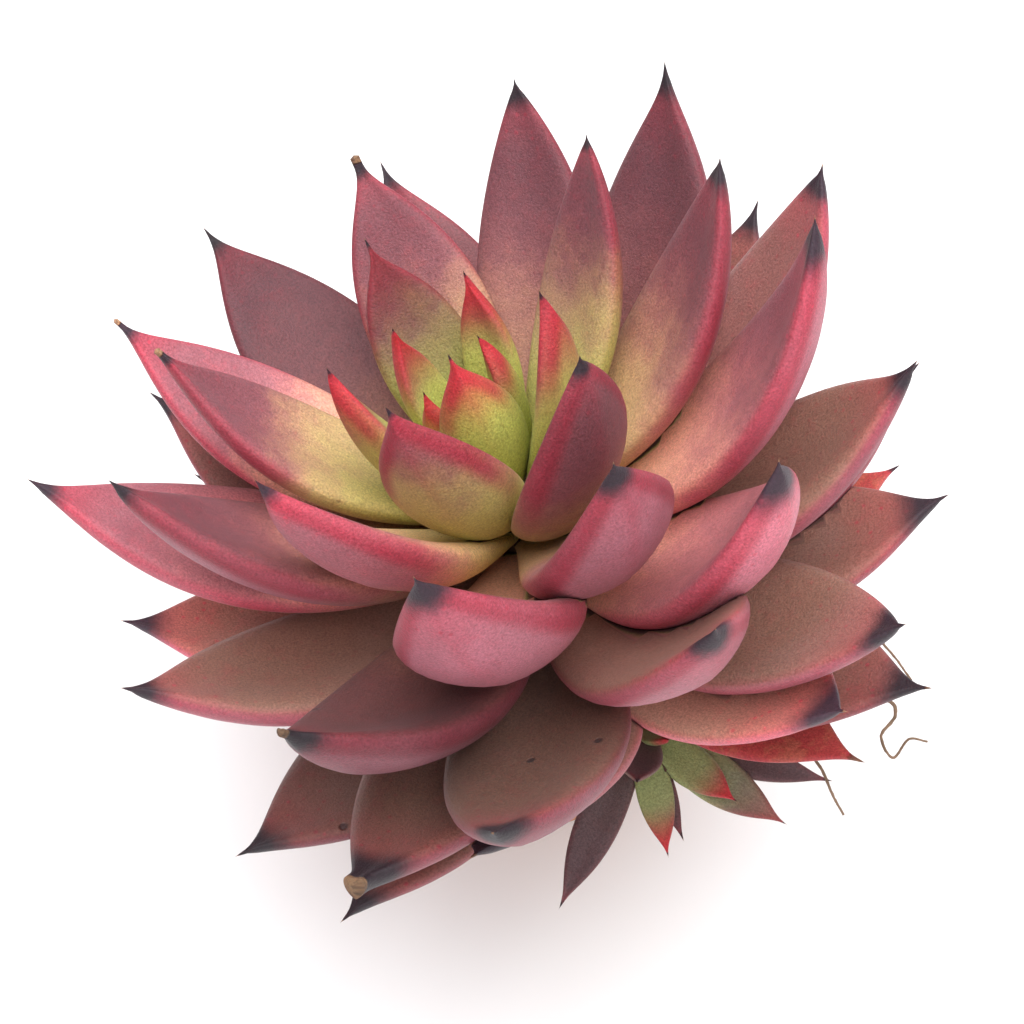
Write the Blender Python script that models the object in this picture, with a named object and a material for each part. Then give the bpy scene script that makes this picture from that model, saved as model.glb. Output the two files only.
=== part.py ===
"""Potted succulent: a rosette of fleshy leaves on a leaning stem, in a small clay pot.

Metres, +Z up. The origin is the centre of the pot's underside.

The leaves stand on a golden-angle spiral. Leaf 0 is the bud at the heart and the
numbers rise with age, outwards and down the stem. Every leaf's size, lean and curl
follow from its age, and a few leaves are turned or bent off the spiral by hand.
"""

import math
from dataclasses import dataclass

import bmesh
import bpy
import numpy as np
from mathutils import Matrix, Vector
from mathutils.bvhtree import BVHTree

GAP = 0.0003  # air between two pieces that touch

# Pot, turned in clay
POT_HEIGHT = 0.052
POT_RIM_RADIUS = 0.041
POT_FOOT_RADIUS = 0.030
POT_WALL = 0.0032
POT_FLOOR = 0.004
POT_BAND_HEIGHT = 0.012
POT_BAND_STEP = 0.002
DRAIN_RADIUS = 0.0035
DRAIN_RING_RADIUS = 0.015
DRAIN_COUNT = 3
POT_SIDES = 40

# Soil
SOIL_BELOW_RIM = 0.005
SOIL_CROWN = 0.0015
SOIL_SIDES = 32

# Rosette, as placed in the pot
ROSETTE_CENTRE = Vector((-0.006, 0.004, POT_HEIGHT + 0.048))
ROSETTE_LEAN = 25.5  # degrees off the upright
ROSETTE_HEADING = 139.6  # degrees, the way it leans, from +X towards +Y

# Stem
STEM_RADIUS = 0.0075
STEM_TIP_RADIUS = 0.0012
STEM_SWELL = 0.00045  # growth of the radius with each leaf
STEM_LEAFY_LENGTH = 0.0357
STEM_FOOT = Vector((0.009, -0.009, POT_HEIGHT - 0.022))
STEM_BEND = 0.012  # how far the stem keeps its lean below the leaves
STEM_RISE = 0.014  # how far it rises upright from its foot
STEM_FOOT_TAPER = 0.6
STEM_SIDES = 16
STEM_MARKS = (0, 2, 5, 9, 14, 22, 32, 44, 56)  # leaf numbers at which the leafy part has rings

# Leaves by age: the curves below are read at these leaf numbers
LEAF_COUNT = 57
FALLEN_LEAVES = (49, 50, 52, 55)
FIRST_TURN = 102.1  # degrees around the stem
GOLDEN_TURN = 138.6
LEAF_SEAT = 0.0006  # how far a leaf's foot stands inside the stem before it is cut to fit
AGES = (0, 4, 9, 15, 22, 30, 40, 56)
LEAN = (4.5, 14, 28, 41, 50, 62, 77, 95)
LENGTH = (0.024, 0.039, 0.058, 0.071, 0.081, 0.077, 0.074, 0.068)
WIDTH = (0.009, 0.015, 0.021, 0.026, 0.030, 0.032, 0.033, 0.031)
THICKNESS = (0.004, 0.0055, 0.007, 0.008, 0.009, 0.0092, 0.0092, 0.008)
CURL = (25, 25, 30, 40, 45, 45, 40, 30)

# Pup: a small rosette that grows from the foot of the stem
PUP_CENTRE = Vector((0.0215, -0.0285, POT_HEIGHT + 0.008))
PUP_ROOT = Vector((0.0100, -0.0110, POT_HEIGHT + 0.001))
PUP_RISE = 0.006  # height over which the runner turns upright
PUP_STEM_RADIUS = 0.0032
PUP_STEM_SIDES = 14
PUP_CURL = 18
PUP_RINGS = 6
PUP_LEAF_STEP = 0.0002  # each leaf of the pup grows this much lower than the last
PUP_PLUMPNESS = 0.32  # thickness of a pup leaf over its width
# Leaves of the pup: turn and lean in degrees, length and width in metres
PUP_LEAVES = (
    (245, 95, 0.038, 0.010),
    (262, 58, 0.018, 0.010),
    (278, 88, 0.026, 0.010),
    (287, 93, 0.023, 0.006),
    (300, 40, 0.012, 0.006),
    (316, 84, 0.023, 0.012),
    (324, 93, 0.032, 0.014),
    (344, 94, 0.037, 0.009),
    (20, 78, 0.020, 0.010),
    (60, 70, 0.016, 0.009),
    (205, 82, 0.020, 0.010),
)

# Dry roots: each is a wiry tube from the stem, out over the rim, with heights above the rim
ROOT_RADIUS = 0.0008
ROOT_TIP_RADIUS = 0.00035
ROOT_SIDES = 6
ROOT_DROP = 0.002  # a root leaves the stem this much below its first point
DRY_ROOTS = {
    "dry_root_right": (
        (0.036, -0.011, 0.006),
        (0.052, -0.010, 0.009),
        (0.066, -0.010, 0.009),
        (0.071, -0.013, 0.007),
        (0.075, -0.019, 0.006),
    ),
    "dry_root_thread": (
        (0.034, -0.018, 0.006),
        (0.052, -0.021, 0.009),
        (0.068, -0.024, 0.009),
        (0.0705, -0.027, 0.008),
        (0.0675, -0.031, 0.007),
        (0.0695, -0.035, 0.006),
        (0.0725, -0.032, 0.008),
        (0.0760, -0.0325, 0.008),
    ),
    "dry_root_front": (
        (0.034, -0.022, 0.013),
        (0.047, -0.032, 0.015),
        (0.0535, -0.0385, 0.013),
        (0.0565, -0.044, 0.010),
        (0.0585, -0.047, 0.008),
    ),
}


@dataclass(frozen=True)
class Bend:
    """How a leaf departs from the spiral."""

    turn: float = 0  # degrees round the stem
    lean: float = 0  # degrees further out
    grow: float = 0  # metres longer
    curl: float = 0  # degrees more curl
    bow: float = 0  # metres that the middle stands aside of the chord
    plump: float = 1  # share of the usual thickness
    broad: float = 1  # share of the usual width


BENT_LEAVES = {
    1: Bend(-2, 6, 0.001),
    3: Bend(-1, -2, 0.002),
    4: Bend(-3, -2, 0.001),
    5: Bend(-2, 2, -0.003),
    7: Bend(-1, -1, -0.003),
    8: Bend(-12, -2, -0.003),
    9: Bend(grow=0.0015),
    10: Bend(-4.5, 5, 0.004),
    11: Bend(0, 3, 0.005),
    12: Bend(-8, -1, -0.003, bow=-0.002, broad=1.08),
    13: Bend(5, 0, 0.000),
    14: Bend(1, -3, -0.001),
    15: Bend(-3, 2, 0.000),
    16: Bend(6, 4, 0.0035),
    17: Bend(6, 2, 0.001, curl=5),
    18: Bend(-1, 0, 0.002),
    19: Bend(-2, -4, 0.000),
    20: Bend(1.5, 0, 0.003, curl=15),
    21: Bend(5, 1, 0.000),
    22: Bend(3, -4, -0.002, curl=15, plump=1.1),
    23: Bend(1.5, -3, 0.0035, bow=-0.002),
    24: Bend(2.5, 1, 0.005),
    25: Bend(-5, 0, -0.002, curl=20),
    27: Bend(8, 2, 0.000, curl=15, plump=1.1),
    28: Bend(1, -3, 0.003, curl=10),
    29: Bend(0, -2, -0.004),
    30: Bend(4, 0, 0.000, curl=8),
    32: Bend(broad=0.94),
    35: Bend(0.5, 0, 0.006, curl=15),
    36: Bend(-2.5, 0, 0.002),
    37: Bend(2, 0, -0.002),
    38: Bend(-4, 3, 0.002, broad=0.92),
    40: Bend(6, 2, 0.000),
    41: Bend(-4, 8, 0.001),
    42: Bend(0, -12, -0.006),
    43: Bend(15, 4, -0.005),
    44: Bend(0, -4, -0.004),
    45: Bend(8, 3, 0.000),
    46: Bend(0, 3, -0.002),
    47: Bend(0, -24, -0.010),
    48: Bend(-13, -4, -0.010, bow=0.007),
    51: Bend(2, 6, -0.001),
    53: Bend(-8, 0, 0.000),
    54: Bend(-7, 4, -0.003, plump=0.8),
    56: Bend(21, 12, -0.008, plump=0.5, broad=0.75),
}

# Leaf outline, as shares of its length, width and thickness
BASE_WIDTH = 0.38
BASE_THICKNESS = 0.36
WIDEST_AT = 0.50
THICKEST_AT = 0.38
LEAF_RINGS = 7


def clear_scene():
    """Remove whatever the scene holds."""
    for item in list(bpy.data.objects):
        bpy.data.objects.remove(item, do_unlink=True)


def finish(name, colour, roughness):
    """A plain Principled material."""
    material = bpy.data.materials.new(name)
    material.use_nodes = True
    shader = material.node_tree.nodes["Principled BSDF"]
    shader.inputs["Base Color"].default_value = (*colour, 1.0)
    shader.inputs["Roughness"].default_value = roughness
    material.diffuse_color = (*colour, 1.0)
    return material


def add_object(name, mesh, colour=None, roughness=0.5):
    """Put a mesh in the scene as one named piece."""
    piece = bpy.data.objects.new(name, mesh)
    bpy.context.scene.collection.objects.link(piece)
    if colour:
        mesh.materials.clear()
        mesh.materials.append(finish(name, colour, roughness))
    return piece


def mesh_from_rings(name, rings, tip=None):
    """Join rings of points into one closed skin, with a flat cap or a pointed tip."""
    bm = bmesh.new()
    loops = [[bm.verts.new(point) for point in ring] for ring in rings]
    sides = len(loops[0])
    for low, high in zip(loops, loops[1:]):
        for k in range(sides):
            following = (k + 1) % sides
            bm.faces.new((low[k], low[following], high[following], high[k]))
    bm.faces.new(list(reversed(loops[0])))
    if tip is None:
        bm.faces.new(loops[-1])
    else:
        point = bm.verts.new(tip)
        for k in range(sides):
            bm.faces.new((loops[-1][k], loops[-1][(k + 1) % sides], point))
    bmesh.ops.recalc_face_normals(bm, faces=bm.faces)
    mesh = bpy.data.meshes.new(name)
    bm.to_mesh(mesh)
    bm.free()
    mesh.shade_smooth()
    return mesh


def inflated(mesh, amount):
    """A copy of a mesh whose faces all stand out by the same amount."""
    bm = bmesh.new()
    bm.from_mesh(mesh)
    bm.normal_update()
    moves = [vert.normal * amount * min(vert.calc_shell_factor(), 2.5) for vert in bm.verts]
    for vert, move in zip(bm.verts, moves):
        vert.co += move
    copy = bpy.data.meshes.new(mesh.name + "_room")
    bm.to_mesh(copy)
    bm.free()
    return copy


def keep_largest_body(mesh):
    """Drop the crumbs that a cut can leave beside the main body."""
    bm = bmesh.new()
    bm.from_mesh(mesh)
    waiting = set(bm.faces)
    bodies = []
    while waiting:
        stack = [waiting.pop()]
        body = []
        while stack:
            face = stack.pop()
            body.append(face)
            for edge in face.edges:
                for other in edge.link_faces:
                    if other in waiting:
                        waiting.remove(other)
                        stack.append(other)
        bodies.append(body)
    bodies.sort(key=lambda body: sum(face.calc_area() for face in body))
    crumbs = [face for body in bodies[:-1] for face in body]
    bmesh.ops.delete(bm, geom=crumbs, context="FACES")
    bm.to_mesh(mesh)
    bm.free()


def combine(target, others, operation, solver="EXACT"):
    """Apply a Boolean of other meshes to an object's mesh."""
    helpers = []
    for mesh in others:
        helper = add_object(mesh.name, mesh)
        helper.hide_render = True
        helper.display_type = "WIRE"
        helpers.append(helper)
        change = target.modifiers.new(operation.title(), "BOOLEAN")
        change.operation = operation
        change.solver = solver
        change.object = helper
    graph = bpy.context.evaluated_depsgraph_get()
    result = bpy.data.meshes.new_from_object(target.evaluated_get(graph))
    target.modifiers.clear()
    result.name = target.name
    target.data = result
    for helper in helpers:
        bpy.data.objects.remove(helper, do_unlink=True)


def at_age(curve, age):
    """Read one of the age curves at a leaf number."""
    return float(np.interp(age, AGES, curve))


def leaf_width(share):
    """Width of a leaf along its length, 1 at the widest place and 0 at the tip."""
    if share < WIDEST_AT:
        rise = math.sin(math.pi / 2 * share / WIDEST_AT) ** 1.2
        return BASE_WIDTH + (1 - BASE_WIDTH) * rise
    fall = (share - WIDEST_AT) / (1 - WIDEST_AT)
    return math.cos(math.pi / 2 * fall) ** 0.85


def leaf_thickness(share):
    """Thickness of a leaf along its length, 1 at the thickest place and 0 at the tip."""
    if share < THICKEST_AT:
        rise = math.sin(math.pi / 2 * share / THICKEST_AT)
        return BASE_THICKNESS + (1 - BASE_THICKNESS) * rise
    fall = (share - THICKEST_AT) / (1 - THICKEST_AT)
    return math.cos(math.pi / 2 * fall) ** 0.75


def leaf_midline(length, curl, steps):
    """Points and directions of an incurved midline whose chord lies along +X.

    The leaf leaves the stem turned down from the chord and curls up towards the tip.
    """
    turns = [math.radians(curl) * (0.5 - (k / steps) ** 1.3) for k in range(steps + 1)]
    points = [Vector((0, 0, 0))]
    for turn in turns[:-1]:
        points.append(points[-1] + Vector((math.cos(turn), 0, -math.sin(turn))))
    chord = points[-1]
    level = Matrix.Rotation(math.atan2(chord.z, chord.x), 3, "Y")
    scale = length / chord.length
    points = [level @ point * scale for point in points]
    directions = [level @ Vector((math.cos(turn), 0, -math.sin(turn))) for turn in turns]
    return points, directions


# Half of a leaf's cross-section from the margin round to the keel: across, up
MARGIN_TO_KEEL = ((1.0, 0.0), (0.62, -0.62), (0.0, -1.0))
MARGIN_TO_CHANNEL = ((0.6, 0.10), (0.0, 0.05))


def leaf_mesh(name, length, width, thickness, curl, bow=0.0, rings=LEAF_RINGS):
    """One fleshy leaf along +X: channelled above, keeled below, and pointed."""
    right = list(MARGIN_TO_CHANNEL[::-1]) + list(MARGIN_TO_KEEL)
    section = right + [(-across, up) for across, up in right[-2:0:-1]]
    steps = rings * 8
    points, directions = leaf_midline(length, curl, steps)
    loops = []
    for k in range(rings):
        share = (k / rings) ** 0.9
        place = share * steps
        low = int(place)
        part = place - low
        centre = points[low].lerp(points[low + 1], part)
        centre.y += bow * math.sin(math.pi * share)
        along = directions[low].lerp(directions[low + 1], part).normalized()
        up = along.cross(Vector((0, 1, 0)))
        half = leaf_width(share) * width / 2
        deep = leaf_thickness(share) * thickness
        ring = [Vector((0, across * half, 0)) + up * rise * deep for across, rise in section]
        loops.append([centre + offset for offset in ring])
    return mesh_from_rings(name, loops, tip=points[-1])


def rosette_frame():
    """The rosette's own axes: origin at the heart, +Z out of the heart."""
    heading = math.radians(ROSETTE_HEADING)
    sideways = Vector((-math.sin(heading), math.cos(heading), 0))
    lean = Matrix.Rotation(math.radians(ROSETTE_LEAN), 4, sideways)
    return Matrix.Translation(ROSETTE_CENTRE) @ lean


def stem_radius(age):
    """Radius of the stem where a leaf of this number grows."""
    return min(STEM_TIP_RADIUS + STEM_SWELL * age, STEM_RADIUS)


def leaf_level(age):
    """Height in the rosette at which a leaf of this number grows."""
    return -STEM_LEAFY_LENGTH * age / (LEAF_COUNT - 1)


def outward_at(turn):
    """The level direction at a turn, in degrees."""
    return Vector((math.cos(math.radians(turn)), math.sin(math.radians(turn)), 0))


def leaning_axes(turn, lean):
    """Axes whose +X points out at a turn and a lean off +Z, in degrees."""
    along = outward_at(turn) * math.sin(math.radians(lean)) + Vector((0, 0, math.cos(math.radians(lean))))
    across = outward_at(turn + 90)
    return Matrix((along, across, along.cross(across))).transposed().to_4x4()


def leaf_frame(age):
    """Axes of one leaf in the rosette: +X along it, +Z out of its upper face."""
    bend = BENT_LEAVES.get(age, Bend())
    turn = FIRST_TURN + GOLDEN_TURN * age + bend.turn
    foot = outward_at(turn) * (stem_radius(age) - LEAF_SEAT) + Vector((0, 0, leaf_level(age)))
    return Matrix.Translation(foot) @ leaning_axes(turn, at_age(LEAN, age) + bend.lean)


def grown_leaf(age, name):
    """The mesh of one leaf of the rosette, where it grows, before it is fitted."""
    bend = BENT_LEAVES.get(age, Bend())
    length = at_age(LENGTH, age) + bend.grow
    thickness = at_age(THICKNESS, age) * bend.plump
    curl = at_age(CURL, age) + bend.curl
    mesh = leaf_mesh(name, length, at_age(WIDTH, age) * bend.broad, thickness, curl, bend.bow)
    mesh.transform(rosette_frame() @ leaf_frame(age))
    return mesh


def leaf_colour(age):
    """Yellow-green at the heart, mauve in the middle, brown in the shade below."""
    heart = Vector((0.42, 0.40, 0.12))
    middle = Vector((0.33, 0.13, 0.12))
    old = Vector((0.22, 0.10, 0.08))
    if age < 20:
        return tuple(heart.lerp(middle, age / 20))
    return tuple(middle.lerp(old, (age - 20) / (LEAF_COUNT - 20)))


def leaf_name(age):
    """Name of a leaf by its place in the rosette."""
    if age < 8:
        return f"heart_leaf_{age:02d}"
    if age < 26:
        return f"inner_leaf_{age:02d}"
    return f"outer_leaf_{age:02d}"


def tube_rings(points, radii, sides):
    """Rings of a round tube along a path, carried along it without twisting."""
    direction = (points[1] - points[0]).normalized()
    across = direction.orthogonal().normalized()
    rings = []
    for k, point in enumerate(points):
        before = points[max(k - 1, 0)]
        after = points[min(k + 1, len(points) - 1)]
        turned = (after - before).normalized()
        across = direction.rotation_difference(turned) @ across
        direction = turned
        side = direction.cross(across)
        turns = [2 * math.pi * j / sides for j in range(sides)]
        rings.append([point + (across * math.cos(t) + side * math.sin(t)) * radii[k] for t in turns])
    return rings


def bezier(start, pull_start, pull_end, end, count):
    """Points along a cubic curve."""
    points = []
    for k in range(count + 1):
        t = k / count
        near, far = 1 - t, t
        pulls = pull_start * 3 * near**2 * far + pull_end * 3 * near * far**2
        points.append(start * near**3 + pulls + end * far**3)
    return points


def stem_path():
    """Centre line and radius of the stem, from its tip down into the soil."""
    frame = rosette_frame()
    points, radii = [], []
    for age in STEM_MARKS:
        points.append(frame @ Vector((0, 0, leaf_level(age))))
        radii.append(stem_radius(age))
    down = (frame.to_3x3() @ Vector((0, 0, -1))) * STEM_BEND
    bend = bezier(points[-1], points[-1] + down, STEM_FOOT + Vector((0, 0, STEM_RISE)), STEM_FOOT, 8)
    points += bend[1:]
    radii += [STEM_RADIUS] * 7 + [STEM_RADIUS * STEM_FOOT_TAPER]
    return points, radii


def stem_mesh():
    """The leaning stem."""
    points, radii = stem_path()
    return mesh_from_rings("stem", tube_rings(points, radii, STEM_SIDES))


def turned(name, outline, steps):
    """Turn an outline of (radius, height) about the upright axis; ends may touch the axis."""
    bm = bmesh.new()
    verts = [bm.verts.new((radius, 0, height)) for radius, height in outline]
    edges = [bm.edges.new(pair) for pair in zip(verts, verts[1:])]
    axis = {"cent": (0, 0, 0), "axis": (0, 0, 1)}
    bmesh.ops.spin(bm, geom=verts + edges, angle=2 * math.pi, steps=steps, use_merge=True, **axis)
    bmesh.ops.remove_doubles(bm, verts=bm.verts, dist=1e-6)
    bmesh.ops.recalc_face_normals(bm, faces=bm.faces)
    mesh = bpy.data.meshes.new(name)
    bm.to_mesh(mesh)
    bm.free()
    mesh.shade_smooth()
    mesh.set_sharp_from_angle(angle=math.radians(35))
    return mesh


def pot_wall_radius(height):
    """Outer radius of the pot's plain wall at a height."""
    return POT_FOOT_RADIUS + (POT_RIM_RADIUS - POT_BAND_STEP - POT_FOOT_RADIUS) * height / POT_HEIGHT


def make_pot():
    """A tapered clay pot with a plain band at the rim and drain holes off the centre."""
    band = POT_HEIGHT - POT_BAND_HEIGHT
    outline = [
        (0, 0),
        (POT_FOOT_RADIUS - 0.001, 0),
        (POT_FOOT_RADIUS, 0.001),
        (pot_wall_radius(band), band),
        (POT_RIM_RADIUS - 0.001, band),
        (POT_RIM_RADIUS, band + 0.001),
        (POT_RIM_RADIUS, POT_HEIGHT - 0.001),
        (POT_RIM_RADIUS - 0.001, POT_HEIGHT),
        (pot_wall_radius(POT_HEIGHT) - POT_WALL + 0.001, POT_HEIGHT),
        (pot_wall_radius(POT_HEIGHT) - POT_WALL, POT_HEIGHT - 0.001),
        (pot_wall_radius(POT_FLOOR) - POT_WALL, POT_FLOOR),
        (0, POT_FLOOR),
    ]
    pot = add_object("pot", turned("pot", outline, POT_SIDES), (0.62, 0.28, 0.16), 0.85)
    for k in range(DRAIN_COUNT):
        turn = 2 * math.pi * k / DRAIN_COUNT
        side = Vector((math.cos(turn), math.sin(turn), 0)) * DRAIN_RING_RADIUS
        bm = bmesh.new()
        sizes = {"segments": 20, "radius1": DRAIN_RADIUS, "radius2": DRAIN_RADIUS, "depth": POT_FLOOR * 4}
        bmesh.ops.create_cone(bm, cap_ends=True, matrix=Matrix.Translation(side), **sizes)
        drill = bpy.data.meshes.new("drain_drill")
        bm.to_mesh(drill)
        bm.free()
        combine(pot, [drill], "DIFFERENCE")
    return pot


def soil_level():
    """Height of the soil's edge."""
    return POT_HEIGHT - SOIL_BELOW_RIM


def make_soil(stem):
    """The soil, domed a little, with the hole that the stem's foot stands in."""
    low = POT_FLOOR + GAP
    top = soil_level()
    outline = [
        (0, low),
        (pot_wall_radius(low) - POT_WALL - GAP, low),
        (pot_wall_radius(top) - POT_WALL - GAP, top),
        (0.02, top + SOIL_CROWN * 0.7),
        (0, top + SOIL_CROWN),
    ]
    soil = add_object("soil", turned("soil", outline, SOIL_SIDES), (0.07, 0.05, 0.035), 0.95)
    combine(soil, [inflated(stem.data, GAP)], "DIFFERENCE")
    return soil


def touches(tree, other):
    """Whether two skins cross."""
    return bool(tree.overlap(other))


def tree_of(mesh):
    """Search tree over a mesh's faces."""
    return BVHTree.FromPolygons([v.co for v in mesh.vertices], [p.vertices for p in mesh.polygons])


def make_leaves(stem):
    """All the leaves, each seated on the stem and pressed by the younger leaves above it."""
    ages = [age for age in range(LEAF_COUNT) if age not in FALLEN_LEAVES]
    grown = {age: grown_leaf(age, leaf_name(age)) for age in ages}
    room = {age: inflated(grown[age], GAP) for age in ages}
    trees = {age: tree_of(room[age]) for age in ages}
    seat = inflated(stem.data, GAP)
    for age in ages:
        leaf = add_object(leaf_name(age), grown[age], leaf_colour(age), 0.55)
        own = tree_of(grown[age])
        pressed = [seat.copy()]
        pressed += [room[other].copy() for other in ages if other < age and touches(own, trees[other])]
        combine(leaf, pressed, "DIFFERENCE", solver="MANIFOLD")  # EXACT can leave a cut open here
        keep_largest_body(leaf.data)


def make_pup(stem):
    """A pup on a short runner from the stem, grown together as one piece."""
    rise = PUP_CENTRE + Vector((0, 0, 0.001))
    low = PUP_CENTRE - Vector((0, 0, PUP_RISE))
    path = bezier(PUP_ROOT, PUP_ROOT.lerp(PUP_CENTRE, 0.5), low, rise, 6)
    radii = [PUP_STEM_RADIUS] * 6 + [PUP_STEM_RADIUS * 0.7]
    pup = add_object("pup", mesh_from_rings("pup", tube_rings(path, radii, PUP_STEM_SIDES)))
    leaves = []
    for k, (turn, lean, length, width) in enumerate(PUP_LEAVES):
        thickness = width * PUP_PLUMPNESS
        mesh = leaf_mesh(f"pup_leaf_{k}", length, width, thickness, PUP_CURL, rings=PUP_RINGS)
        axes = leaning_axes(turn, lean)
        foot = PUP_CENTRE + axes.col[0].xyz * PUP_STEM_RADIUS * 0.3 + Vector((0, 0, -PUP_LEAF_STEP * k))
        mesh.transform(Matrix.Translation(foot) @ axes)
        leaves.append(mesh)
    combine(pup, leaves, "UNION", solver="MANIFOLD")  # EXACT loses the crowded leaf bases
    combine(pup, [inflated(stem.data, GAP)], "DIFFERENCE")
    keep_largest_body(pup.data)
    pup.data.materials.clear()
    pup.data.materials.append(finish("pup_skin", (0.30, 0.30, 0.16), 0.55))
    return pup


def smooth_path(points, steps):
    """A smooth curve through a few points (Catmull-Rom), with steps per stretch."""
    padded = [points[0] * 2 - points[1], *points, points[-1] * 2 - points[-2]]
    curve = []
    for a, b, c, d in zip(padded, padded[1:], padded[2:], padded[3:]):
        for k in range(steps):
            t = k / steps
            square = (a * 2 - b * 5 + c * 4 - d) * t**2
            cube = (b * 3 - a - c * 3 + d) * t**3
            curve.append((b * 2 + (c - a) * t + square + cube) / 2)
    curve.append(points[-1])
    return curve


def make_roots(stem):
    """Dry roots that leave the stem just above the soil and reach out over the rim."""
    seat = inflated(stem.data, GAP)
    for name, above_rim in DRY_ROOTS.items():
        points = [Vector(point) + Vector((0, 0, POT_HEIGHT)) for point in above_rim]
        start = Vector((STEM_FOOT.x, STEM_FOOT.y, points[0].z - ROOT_DROP))
        path = smooth_path([start, *points], 3)
        last = len(path) - 1
        radii = [ROOT_RADIUS + (ROOT_TIP_RADIUS - ROOT_RADIUS) * k / last for k in range(last + 1)]
        mesh = mesh_from_rings(name, tube_rings(path, radii, ROOT_SIDES))
        root = add_object(name, mesh, (0.28, 0.17, 0.09), 0.9)
        combine(root, [seat.copy()], "DIFFERENCE")
        keep_largest_body(root.data)


def main():
    """Build every piece."""
    clear_scene()
    stem = add_object("stem", stem_mesh(), (0.35, 0.24, 0.14), 0.9)
    make_pot()
    make_soil(stem)
    make_leaves(stem)
    make_pup(stem)
    make_roots(stem)


if __name__ == "__main__":
    main()
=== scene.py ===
"""Looks of a potted rosette succulent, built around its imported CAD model.

Every leaf is grown again in the place of its CAD solid, as a fine mesh that carries its own
skin measures. Some leaves are slimmer than their solid or have a rounder end. The pup, the
stem, the dry roots, the soil and the clay pot are rebuilt as fine meshes too. Metres, +Z up,
origin at the centre of the pot's underside.
"""

import logging
import math
from dataclasses import dataclass, field
from enum import Enum
from typing import Any, Sequence

import bmesh
import bpy
import numpy as np
from mathutils import Matrix, Vector, noise
from mathutils.bvhtree import BVHTree

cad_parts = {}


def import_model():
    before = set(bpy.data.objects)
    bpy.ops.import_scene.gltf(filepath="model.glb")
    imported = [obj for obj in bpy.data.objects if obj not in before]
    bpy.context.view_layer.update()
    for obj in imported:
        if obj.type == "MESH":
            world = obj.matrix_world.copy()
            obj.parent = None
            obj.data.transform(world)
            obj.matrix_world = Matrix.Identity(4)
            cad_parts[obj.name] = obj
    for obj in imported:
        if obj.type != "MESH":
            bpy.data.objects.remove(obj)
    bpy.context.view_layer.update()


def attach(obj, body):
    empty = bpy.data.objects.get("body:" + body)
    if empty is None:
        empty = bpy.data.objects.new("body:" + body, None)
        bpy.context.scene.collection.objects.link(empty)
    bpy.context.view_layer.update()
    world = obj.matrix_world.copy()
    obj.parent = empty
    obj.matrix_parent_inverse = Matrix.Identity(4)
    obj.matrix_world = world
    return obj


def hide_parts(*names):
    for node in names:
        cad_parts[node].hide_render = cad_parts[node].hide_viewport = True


LOG = logging.getLogger("succulent")
MM = 0.001
BODY = "root"
Colour = tuple[float, float, float]


# --------------------------------------------------------------------------- shader maths


class Wire:
    """One shader value, with arithmetic that adds Math nodes."""

    def __init__(self, bench: "Bench", socket: bpy.types.NodeSocket) -> None:
        """Hold a socket and the bench that it belongs to."""
        self.bench = bench
        self.socket = socket

    def _math(self, operation: str, *values: Any) -> "Wire":
        """Add one Math node on values."""
        return self.bench.node("ShaderNodeMath", {"operation": operation}, dict(enumerate(values)))

    def __add__(self, other: "Wire | float") -> "Wire":
        """Add."""
        return self._math("ADD", self, other)

    def __radd__(self, other: float) -> "Wire":
        """Add, reflected."""
        return self._math("ADD", other, self)

    def __sub__(self, other: "Wire | float") -> "Wire":
        """Subtract."""
        return self._math("SUBTRACT", self, other)

    def __rsub__(self, other: float) -> "Wire":
        """Subtract, reflected."""
        return self._math("SUBTRACT", other, self)

    def __mul__(self, other: "Wire | float") -> "Wire":
        """Multiply."""
        return self._math("MULTIPLY", self, other)

    def __rmul__(self, other: float) -> "Wire":
        """Multiply, reflected."""
        return self._math("MULTIPLY", other, self)

    def __truediv__(self, other: "Wire | float") -> "Wire":
        """Divide."""
        return self._math("DIVIDE", self, other)

    def __neg__(self) -> "Wire":
        """Negate."""
        return self._math("MULTIPLY", self, -1.0)

    def __abs__(self) -> "Wire":
        """Absolute value."""
        return self._math("ABSOLUTE", self)

    def __pow__(self, power: float) -> "Wire":
        """Raise to a power."""
        return self._math("POWER", self, power)

    def at_most(self, other: "Wire | float") -> "Wire":
        """The smaller of two values."""
        return self._math("MINIMUM", self, other)

    def at_least(self, other: "Wire | float") -> "Wire":
        """The larger of two values."""
        return self._math("MAXIMUM", self, other)

    def ramp(self, low: "Wire | float", high: "Wire | float") -> "Wire":
        """Rise smoothly from 0 at low to 1 at high."""
        settings = {"interpolation_type": "SMOOTHSTEP"}
        inputs = {"Value": self, "From Min": low, "From Max": high}
        return self.bench.node("ShaderNodeMapRange", settings, inputs)


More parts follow.
